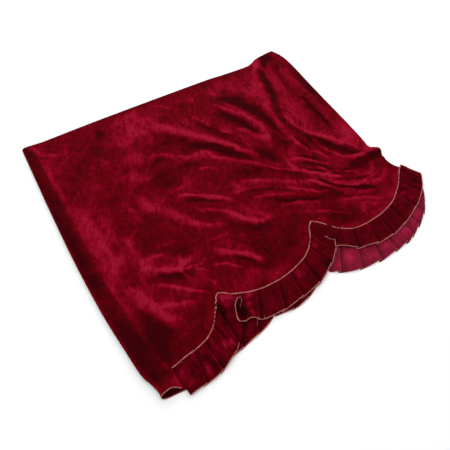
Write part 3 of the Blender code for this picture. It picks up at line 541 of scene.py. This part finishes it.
# Ribs from heading to hem: heading x, heading y, hem x, hem y, how far the hem stands up
UPPER_LEFT = (
    (-393, -414, -383, -492, 6), (-355, -409, -350, -491, 1), (-312, -403, -302, -487, 0),
    (-278, -392, -262, -472, 0), (-250, -369, -236, -460, 0), (-226, -336, -218, -447, 2),
    (-210, -308, -206, -437, 4), (-200, -299, -195, -424, 3), (-186, -306, -184, -410, 0),
    (-165, -322, -170, -404, 0), (-135, -337, -148, -404, 0),
)
UPPER_MIDDLE = (
    (-143, -334, -176, -404, 2), (-130, -340, -156, -407, 5),
    (-112, -345, -132, -424, 0), (-80, -350, -80, -430, 0), (-40, -352, -36, -427, 0),
    (0, -347, 6, -422, 0), (42, -337, 45, -416, 0), (82, -317, 88, -398, 0),
    (112, -287, 122, -380, 0), (131, -254, 152, -355, 1), (145, -241, 171, -327, 3),
)
UPPER_RIGHT = (
    (138, -250, 148, -338, 0), (148, -240, 162, -345, 0), (164, -252, 180, -354, 0),
    (182, -273, 194, -367, 0), (200, -299, 212, -382, 0), (225, -318, 236, -388, 0),
    (258, -328, 264, -396, 0), (300, -329, 308, -399, 0), (345, -324, 355, -393, 0),
    (390, -312, 402, -379, 0), (428, -291, 450, -358, 0), (465, -262, 492, -334, 0),
    (497, -229, 526, -304, 1), (517, -213, 548, -272, 3),
)
LOWER_LEFT = (
    (-340, -392, -335, -472, 0), (-290, -390, -285, -470, 0), (-235, -385, -235, -464, 0),
    (-180, -376, -184, -454, 0), (-135, -362, -140, -445, 0), (-105, -352, -105, -431, 0),
)
LOWER_MIDDLE = (
    (-102, -352, -102, -431, 0), (-70, -358, -66, -437, 0), (-35, -362, -35, -440, 0),
    (5, -358, 8, -431, 0), (45, -343, 48, -415, 0), (80, -327, 88, -398, 0),
)
LOWER_RIGHT = (
    (83, -326, 98, -397, 0), (125, -328, 135, -420, 0), (165, -332, 172, -434, 0),
    (210, -347, 214, -440, 0), (260, -359, 263, -442, 0), (310, -360, 318, -438, 0),
    (360, -354, 372, -429, 0), (410, -336, 428, -402, 0), (450, -310, 470, -375, 0),
    (485, -275, 506, -334, 0), (506, -248, 532, -294, 0),
)
# Where a strip's end stands up and curls, its edge from heading to hem: x, y, height over its bed
MIDDLE_CURL = (
    (-169, -367, 5), (-159, -356, 7), (-155, -347, 10), (-161, -342, 12), (-171, -348, 13),
    (-180, -358, 13), (-187, -374, 12), (-192, -389, 9), (-190, -400, 6),
)
MIDDLE_END = (
    (147, -242, 4), (142, -285, 5), (141, -300, 6), (156, -308, 6), (158, -320, 5), (171, -327, 4),
)
# The pleats' folds, as shares of a strip's heading and of its hem
UPPER_LEFT_FOLDS = ((0.115, 0.11), (0.2, 0.215), (0.33, 0.38), (0.46, 0.47))
UPPER_MIDDLE_FOLDS = ((0.183, 0.15), (0.35, 0.3), (0.45, 0.45), (0.577, 0.6), (0.68, 0.76),
                      (0.8, 0.88))
UPPER_RIGHT_FOLDS = ((0.373, 0.29), (0.474, 0.463), (0.551, 0.554), (0.637, 0.65), (0.742, 0.753),
                     (0.81, 0.852), (0.885, 0.935))
LOWER_LEFT_FOLDS = ((0.22, 0.22), (0.45, 0.45), (0.68, 0.68), (0.88, 0.88))
LOWER_MIDDLE_FOLDS = ((0.3, 0.3), (0.55, 0.55), (0.8, 0.8))
LOWER_RIGHT_FOLDS = ((0.2, 0.06), (0.3, 0.214), (0.39, 0.352), (0.46, 0.467), (0.535, 0.545),
                     (0.59, 0.604), (0.655, 0.667), (0.735, 0.766), (0.83, 0.86), (0.92, 0.935))
# Each strip: ribs, folds, first and last layer, curled left and right end
UPPER_STRIPS = {
    "ruffle_upper_left": (UPPER_LEFT, UPPER_LEFT_FOLDS, 0, 0, None, None),
    "ruffle_upper_right": (UPPER_RIGHT, UPPER_RIGHT_FOLDS, 0, 2, None, None),
    "ruffle_upper_middle": (UPPER_MIDDLE, UPPER_MIDDLE_FOLDS, 2, 2, MIDDLE_CURL, MIDDLE_END),
}
LOWER_PILE_UP = {
    "ruffle_lower_left": (LOWER_LEFT, LOWER_LEFT_FOLDS, 0, 0, None, None),
    "ruffle_lower_middle": (LOWER_MIDDLE, LOWER_MIDDLE_FOLDS, 0, 0, None, None),
}
LOWER_BACK_UP = {
    "ruffle_lower_right": (LOWER_RIGHT, LOWER_RIGHT_FOLDS, 0, 0, None, None),
}
# Painted highlights on the strips, and painted shade where the strength is minus: x, y, radius along x and
# y, strength
STRIP_PAINTED_LIGHT = (
    (-199, -312, 10, 8, 0.45), (-188, -323, 12, 8, 0.6), (-193, -342, 8, 10, 0.5),
    (-167, -335, 8, 8, 0.4),
    (-203, -374, 8, 8, 0.45), (-247, -430, 10, 10, 0.55), (-234, -435, 9, 8, 0.5),
    (-203, -411, 10, 16, 0.3),
    (-299, -426, 12, 5, 0.28), (-284, -442, 10, 5, 0.2), (-316, -462, 5, 14, 0.25),
    (-314, -417, 6, 6, 0.25),
    (-387, -446, 5, 22, 0.25), (-376, -442, 5, 20, 0.25), (-364, -475, 9, 8, 0.35),
    (-347, -478, 8, 6, 0.3),
    (-307, -438, 5, 12, -0.2), (-301, -466, 6, 14, -0.3), (-217, -344, 8, 10, -0.3),
    (-206, -363, 8, 6, -0.2),
    (-187, -408, 10, 14, -0.4), (-130, -350, 16, 6, 0.45), (-146, -372, 6, 8, 0.5),
    (-149, -398, 5, 10, 0.5),
    (-166, -384, 8, 14, -0.3), (149, -281, 8, 10, 0.2), (281, -344, 8, 8, 0.3), (444, -301, 14, 6, 0.4),
    (463, -330, 10, 5, 0.35), (479, -281, 12, 6, 0.4), (508, -281, 8, 8, -0.2), (424, -342, 10, 8, -0.25),
    (21, -364, 12, 12, 0.5), (40, -352, 8, 6, 0.3), (111, -313, 10, 8, 0.25), (175, -323, 8, 14, -0.35),
    (162, -394, 22, 30, 0.08), (206, -406, 24, 16, 0.08), (437, -391, 18, 22, 0.08),
    (367, -407, 18, 14, 0.08),
    (112, -385, 14, 20, -0.45), (188, -412, 6, 12, -0.15), (-171, -374, 9, 17, -0.8),
)


def upper_bed(x, y):
    """Height that the upper strips' middle lies at: on the cloth, then on the lower strips, and
    lower where it stands out past them."""
    front = front_y(x, UPPER_SEAM, UPPER_PLAIN_HEM)
    cloth = upper_height(x, np.maximum(y, front + 2))[0] + CLOTH_TO_STRIP
    past = np.clip((y - front) / 20.0 + 1.0, 0.0, 1.0)
    lower_ribs = (*LOWER_LEFT, *LOWER_MIDDLE, *LOWER_RIGHT)
    hem = np.array([(rib[2], rib[3]) for rib in lower_ribs], float)
    outside = np.interp(x, hem[:, 0], hem[:, 1]) - y
    rest = UPPER_HEM_MID - HEM_DROP * ease((outside - 6.0) / 16.0)
    return np.where(y > front, cloth, rest + (cloth - rest) * ease(past))


def lower_bed(x, y):
    """Height that the lower strips' middle lies at, on the floor."""
    return np.zeros(np.shape(x)) + LOWER_STRIP_MID


def pleat_knots(folds, first_layer, last_layer, flare, step):
    """Knots along a pleated strip: shares of its heading and hem, lap past them, layer, rise of
    the hem, the hem's drop, and its painted shade or highlight. Each pleat's face climbs to the upper
    layer, turns over at its fold and comes back under the next one's start."""
    ends = ((0.0, 0.0), *folds, (1.0, 1.0))
    last = len(folds)
    knots = []
    for k in range(last + 1):
        start, end = np.array(ends[k]), np.array(ends[k + 1])
        low = first_layer if k == 0 else 0.0
        high = last_layer if k == last else 2.0
        lift, drop = flare * pleat_luck.uniform(0.5, 1.3), step * pleat_luck.uniform(0.6, 1.2)
        # shade is painted shadow where a pleat comes out from under the fold above; the fold edges get a
        # painted highlight
        shade = -pleat_luck.uniform(0.16, 0.32) if k else 0.0
        knots += [(start, 0.0, low, 0.0, drop, shade), (start, 1.0, low, 0.0, drop, shade)]
        for f in (0.1, 0.2, 0.4, 0.6, 0.8):
            layer = low + (high - low) * ease(f)
            knots.append((start + (end - start) * f, 1.0 - f, layer, lift * math.sin(math.pi * f ** 0.8),
                          drop * (1 - f), shade * (1.0 - ease(f / 0.4)) + 0.06 * math.sin(math.pi * f)))
        knots.append((end, 0.0, high, 0.3 * lift, 0.0, 0.0))
        if k < last:
            knots += [(end, 0.6, high, 0.3 * lift, 0.0, 0.05), (end, 1.0, high - 0.1, 0.3 * lift, 0.0, 0.16),
                      (end, 1.07, 1.5, 0.2 * lift, 0.0, 0.0), (end, 1.0, 1.05, 0.0, 0.3 * drop, shade),
                      (end, 0.5, 1.0, 0.0, 0.5 * drop, shade), (end, 0.0, 0.95, 0.0, 0.8 * drop, shade),
                      (end, -0.07, 0.5, 0.0, drop, shade)]
    return knots


def strip_grid(table, knots, bed, left_end, right_end):
    """The strip's surface as rows from heading to hem."""
    ribs = np.array(table, float)
    heading, hem = smooth_line(ribs[:, :2]), smooth_line(ribs[:, 2:])
    place = np.linspace(0, 1, len(heading))
    length = np.linalg.norm(np.diff(heading, axis=0), axis=1).sum()
    s = STRIP_SHARES[:, None]
    columns = []
    for share, lap, layer, lift, drop, _ in knots:
        at_heading = np.clip(share[0] + lap * HEADING_LAP / length, 0.0, 1.0)
        at_hem = np.clip(share[1] + lap * HEM_LAP / length, 0.0, 1.0)
        x, y = (np.interp(at_heading, place, heading[:, i]) for i in (0, 1))
        hem_x, hem_y, rise = (np.interp(at_hem, place, hem[:, i]) for i in (0, 1, 2))
        reach = 1.0 + drop / math.hypot(hem_x - x, hem_y - y)
        px, py = x + (hem_x - x) * s * reach, y + (hem_y - y) * s * reach
        pz = bed(px, py) + layer * PLEAT_STEP + (rise + lift) * s ** 2
        columns.append(np.concatenate([px, py, pz], axis=1))
    if right_end:
        edge = along(np.array(right_end, float), STRIP_SHARES)
        edge[:, 2] += bed(edge[:, 0], edge[:, 1])
        last = columns[-1]
        for column in columns:
            pull = ease(1.0 - np.linalg.norm(column[0] - last[0]) / END_PULL)
            column += (edge - last) * pull
    if left_end:
        edge = along(smooth_line(left_end, 4), STRIP_SHARES)
        edge[:, 2] += bed(edge[:, 0], edge[:, 1])
        curled = []
        for e in CURL_STEPS:
            point = edge * (1 - e) + columns[0] * e
            point[:, 2] = columns[0][:, 2] + (edge[:, 2] - columns[0][:, 2]) * (1 - e) ** 3
            curled.append(point)
        columns = curled + columns
    return np.stack(columns, axis=1)


def strip_painted_light(grid, knots):
    """A strip's painted highlights and shade, by its place in the pleat and on the strip."""
    by_pleat = [knot[-1] for knot in knots]
    curled = [0.0] * (grid.shape[1] - len(knots))
    pile = np.zeros(grid.shape[:2]) + np.array(curled + by_pleat)
    for px, py, rx, ry, strength in STRIP_PAINTED_LIGHT:
        pile += strength * np.exp(-((grid[..., 0] - px) / rx) ** 2
                                  - ((grid[..., 1] - py) / ry) ** 2)
    return pile


def lay_strips(strips, bed, flare, step, materials, face_up):
    """The pleated strips of one layer, each standing for its solid."""
    made = {}
    for name, (table, folds, first, last, left_end, right_end) in strips.items():
        knots = pleat_knots(folds, first, last, flare, step)
        grid = strip_grid(table, knots, bed, left_end, right_end)
        # The strip's painted highlights and painted shade
        pile = strip_painted_light(grid, knots)
        piece = cloth_object(name.replace("ruffle", "pleated"), grid, STRIP, materials, face_up, pile)
        smooth = piece.modifiers.new("soft_folds", "SUBSURF")
        smooth.levels = smooth.render_levels = 1
        piece.modifiers.move(1, 0)
        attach(piece, "root")
        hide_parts(name)
        made[name] = (piece, grid)
    return made


# The same velvet as the cover's, drawn darker: painted shade over the ruffle
ruffle_velvet_shaded = crushed_velvet("crushed_velvet_ruffle_shaded", (
    (0.0, "#200004"), (0.14, "#300003"), (0.36, "#460006"), (0.59, "#5C000E"), (0.84, "#7A0620"),
    (1.0, "#881030")))
ruffle_back = velvet_back("ruffle_back_magenta", (
    (0.0, "#340110"), (0.35, "#5C041E"), (0.55, "#760726"), (0.8, "#941039")))
upper = lay_strips(UPPER_STRIPS, upper_bed, 2.6, 3.0, (ruffle_velvet_shaded, ruffle_back), True)

# The lower layer's ruffle, on the floor. Its right-hand strip lies with the cloth's back up, which
# shows magenta under the right scallop. The other two lie with the pile up.
lower = lay_strips(LOWER_PILE_UP, lower_bed, 1.0, 1.0, (ruffle_velvet_shaded, ruffle_back), True)
lower.update(lay_strips(LOWER_BACK_UP, lower_bed, 1.5, 4.6, (ruffle_velvet_shaded, ruffle_back), False))

# The overlocked edges. Every cut edge is bound by a three-thread overlock in rose-gold thread,
# a knobbly band about 4 mm wide with a stitch each 2.5 mm, which wraps a little round the edge. A
# hem shows less of it than a heading, and the back of the cloth shows the least.
BAND, HEM_BAND, SLIM_BAND, BACK_BAND = 3.6, 2.6, 2.0, 1.3
BAND_HEIGHT, BAND_SIDES, STITCH, BAND_STEP = 1.5, 8, 2.5, 1.0
ON_FLOOR = 0.1          # the lowest bands are pressed flat on the floor
TUCKED = 184.0, 191.0   # between these x the right strip's heading is tucked under the cloth
BUNCHED, BUNCH_REACH = (-220, -326), (16, 24)
band_luck = np.random.default_rng(5)


def overlock_thread(name):
    """Rose-gold polyester thread, twisted, in slanting loops a stitch apart. The velvet's red
    shows between the loops."""
    material, tree, shader = new_material(name)
    place = add(tree, "ShaderNodeUVMap", {"uv_map": "along"}).outputs["UV"]
    loops = add(tree, "ShaderNodeTexWave", {"Scale": 0.5, "Distortion": 1.5, "Detail": 1.0,
                                            "bands_direction": "DIAGONAL"}, {"Vector": place})
    worn = add(tree, "ShaderNodeTexNoise", {"Scale": 0.09, "Detail": 2.0}, {"Vector": place})
    both = add(tree, "ShaderNodeMath", {"operation": "MULTIPLY_ADD", 1: 0.45},
               {0: loops.outputs["Fac"], 2: worn.outputs["Fac"]})
    ramp = add(tree, "ShaderNodeValToRGB", {}, {"Fac": both.outputs[0]})
    stops(ramp, ((0.3, "#5E161A"), (0.55, "#923E38"), (0.85, "#B8685C")))
    tree.links.new(ramp.outputs["Color"], shader.inputs["Base Color"])
    bump = add(tree, "ShaderNodeBump", {"Strength": 0.5, "Distance": 0.0006},
               {"Height": loops.outputs["Fac"]})
    tree.links.new(bump.outputs["Normal"], shader.inputs["Normal"])
    shader.inputs["Roughness"].default_value = 0.5
    return material


def overlock(name, edges, material):
    """Bands along cut edges, each edge given as its points, points further in on the cloth, and the
    band's width. Near the left notch the thread has bunched up into knots."""
    points, faces, uvs = [], [], []
    for edge, inner, width in edges:
        steps = np.linalg.norm(np.diff(edge, axis=0), axis=1)
        length = np.concatenate([[0], np.cumsum(steps)])
        at = np.linspace(0, length[-1], max(4, int(length[-1] / BAND_STEP)))
        line = np.stack([np.interp(at, length, edge[:, i]) for i in range(3)], axis=1)
        inward = np.stack([np.interp(at, length, (inner - edge)[:, i]) for i in range(3)], axis=1)
        along_line = np.gradient(line, axis=0)
        along_line /= np.linalg.norm(along_line, axis=1)[:, None] + 1e-9
        inward -= along_line * (inward * along_line).sum(axis=1)[:, None]
        inward /= np.linalg.norm(inward, axis=1)[:, None] + 1e-9
        up = np.cross(along_line, inward)
        bunched = np.exp(-((line[:, 0] - BUNCHED[0]) / BUNCH_REACH[0]) ** 2
                         - ((line[:, 1] - BUNCHED[1]) / BUNCH_REACH[1]) ** 2)
        knob = 1.0 + 0.12 * np.sin(at * 2 * math.pi / STITCH) + 0.08 * band_luck.standard_normal(len(at))
        knob += 0.45 * bunched * np.sin(at / 1.7 + 2 * np.sin(at / 5.0))
        wander = width * 0.4 + 0.25 * np.sin(at / 9.0)
        wander += 1.3 * bunched * np.sin(at / 2.9 + np.sin(at / 7.0))
        rough = 0.12 * band_luck.standard_normal(len(at))
        line = line + inward * wander[:, None] + up * rough[:, None]
        start = len(points)
        for k in range(len(at)):
            for side in range(BAND_SIDES):
                turn = 2 * math.pi * side / BAND_SIDES
                across = inward[k] * (width / 2) * math.cos(turn)
                points.append(line[k] + knob[k] * (
                    across + up[k] * min(BAND_HEIGHT, width) / 2 * math.sin(turn)))
        for k in range(len(at) - 1):
            ring = start + k * BAND_SIDES
            for side in range(BAND_SIDES):
                a, b = ring + side, ring + (side + 1) % BAND_SIDES
                faces.append((a, b, b + BAND_SIDES, a + BAND_SIDES))
                uvs += [(at[k], side), (at[k], side + 1), (at[k + 1], side + 1), (at[k + 1], side)]
        faces.append([start + side for side in range(BAND_SIDES)][::-1])
        faces.append([start + (len(at) - 1) * BAND_SIDES + side for side in range(BAND_SIDES)])
        uvs += [(0.0, 0.0)] * 2 * BAND_SIDES
    points = np.array(points)
    points[:, 2] = np.maximum(points[:, 2], ON_FLOOR)
    mesh = bpy.data.meshes.new(name)
    mesh.from_pydata(((points - ORIGIN) * MM).tolist(), [], faces)
    layer = mesh.uv_layers.new(name="along")
    layer.data.foreach_set("uv", np.array(uvs).ravel())
    mesh.shade_smooth()
    mesh.materials.append(material)
    piece = bpy.data.objects.new(name, mesh)
    bpy.context.scene.collection.objects.link(piece)
    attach(piece, "root")
    return piece


def strip_edges(name, grid):
    """A strip's cut edges that show, with the points next to them: heading, hem and both ends.
    The left strip's hem ends under the middle strip, whose heading runs on over the left one's."""
    first = len(CURL_STEPS) if name == "ruffle_upper_middle" else 0
    heading = (grid[0, first:], grid[2, first:], BAND)
    hem = (grid[-1], grid[-3], HEM_BAND)
    left, right = (grid[:, 0], grid[:, 2]), (grid[:, -1], grid[:, -3])
    if name == "ruffle_upper_left":
        return [heading, (grid[-1, :-12], grid[-3, :-12], 2.2)]
    if name == "ruffle_upper_middle":
        lead = np.array([(-27.0, 12.0, 0.0), (-13.0, 6.0, 0.0)])
        heading = [np.vstack([lead + row[0], row]) for row in heading[:2]] + [BAND]
        return [heading, hem, (*left, BAND), (right[0][8:], right[1][8:], SLIM_BAND)]
    if name == "ruffle_upper_right":
        columns = range(grid.shape[1])
        column = np.linspace(0, columns[-1], 1200)
        edge, inner = (np.stack([np.interp(column, columns, grid[row, :, i]) for i in range(3)], axis=1)
                       for row in (0, 2))
        tucked = (edge[:, 0] > TUCKED[0]) & (edge[:, 0] < TUCKED[1])
        before, after = tucked.argmax(), len(tucked) - tucked[::-1].argmax()
        return [(edge[:before], inner[:before], BAND), (edge[after:], inner[after:], BAND), hem,
                (*right, HEM_BAND)]
    if name == "ruffle_lower_right":
        hem = (grid[-1], grid[-3], BACK_BAND)
    return [heading, hem, (*left, HEM_BAND), (*right, HEM_BAND)]


thread = overlock_thread("polyester_overlock_thread")
for name, (piece, grid) in {**upper, **lower}.items():
    overlock(name.replace("ruffle", "overlock"), strip_edges(name, grid), thread)
plain_hem = slice(UPPER_COLUMNS - 6, UPPER_COLUMNS + NOSE_STEPS + 2)
hem_rows = section[0, plain_hem], section[2, plain_hem]
plain_band = overlock("overlock_plain_hem", ((*hem_rows, HEM_BAND),), thread)

# Loose ends of the thread, where the overlocking was cut off and left, and bits of lint, each an
# arc through three points and its height over the ruffle or the cloth.
LOOSE_WIDTH = 0.9
LOOSE_ENDS = (
    (-147, -414, -150, -422, -155, -431, 2.0), (-138, -422, -130, -423, -124, -417, 2.0),
    (-369, -411, -367, -414, -364, -419, 3.0), (-371, -413, -366, -413, -362, -412, 3.0),
    (-271, -447, -270, -448, -269, -447, 1.5), (369, -344, 370, -345, 372, -344, 1.5),
    (154, -305, 156, -307, 158, -306, 2.0), (175, -247, 176, -248, 178, -247, 1.5),
    (31, -250, 32, -251, 33, -250, 1.5), (215, -303, 218, -305, 220, -303, 2.0),
    (135, -296, 139, -299, 143, -297, 3.5), (455, -240, 456, -241, 457, -240, 1.5),
)
ends = []
for x1, y1, x2, y2, x3, y3, over in LOOSE_ENDS:
    line = smooth_line(((x1, y1), (x2, y2), (x3, y3)), 4)
    height = upper_bed(line[:, 0], line[:, 1]) + over
    curl = np.column_stack([line, height])
    ends.append((curl, curl + (0.0, 1.0, 0.0), LOOSE_WIDTH))
overlock("loose_thread_ends", ends, thread)

# Camera, at the photograph's viewing angle, over a plain pale floor in soft studio light.
camera_data = bpy.data.cameras.new("camera")
camera_data.lens, camera_data.sensor_width = 36.0, 36.0
camera = bpy.data.objects.new("camera", camera_data)
camera.location = (-0.4477, -0.7082, 1.1166)
camera.rotation_euler = (math.radians(32.0), 0.0, math.radians(-30.245))
bpy.context.scene.collection.objects.link(camera)
bpy.context.scene.camera = camera

floor_mesh = bpy.data.meshes.new("floor")
floor_mesh.from_pydata([(-6, -6, 0), (6, -6, 0), (6, 6, 0), (-6, 6, 0)], [], [(0, 1, 2, 3)])
floor = bpy.data.objects.new("floor", floor_mesh)
bpy.context.scene.collection.objects.link(floor)
paper, _, paper_shader = new_material("studio_paper_white")
paper_shader.inputs["Base Color"].default_value = linear("#F4F4F4")
paper_shader.inputs["Roughness"].default_value = 0.9
floor_mesh.materials.append(paper)

for name, place, size, power in (
        ("overhead_softbox", (0.0, 0.5, 2.6), 2.4, 26.0),
        ("back_softbox", (1.4, 2.2, 1.5), 1.6, 26.0),
        ("front_fill", (-1.8, -1.6, 1.8), 1.6, 6.0)):
    light = bpy.data.lights.new(name, "AREA")
    light.size, light.energy = size, power
    lamp = bpy.data.objects.new(name, light)
    lamp.location = place
    lamp.rotation_euler = (-Vector(place)).to_track_quat("-Z", "Y").to_euler()
    bpy.context.scene.collection.objects.link(lamp)
world = bpy.data.worlds.new("studio")
world.use_nodes = True
world.node_tree.nodes["Background"].inputs["Color"].default_value = linear("#FFFFFF")
world.node_tree.nodes["Background"].inputs["Strength"].default_value = 0.75
bpy.context.scene.world = world
bpy.context.scene.view_settings.view_transform = "Standard"
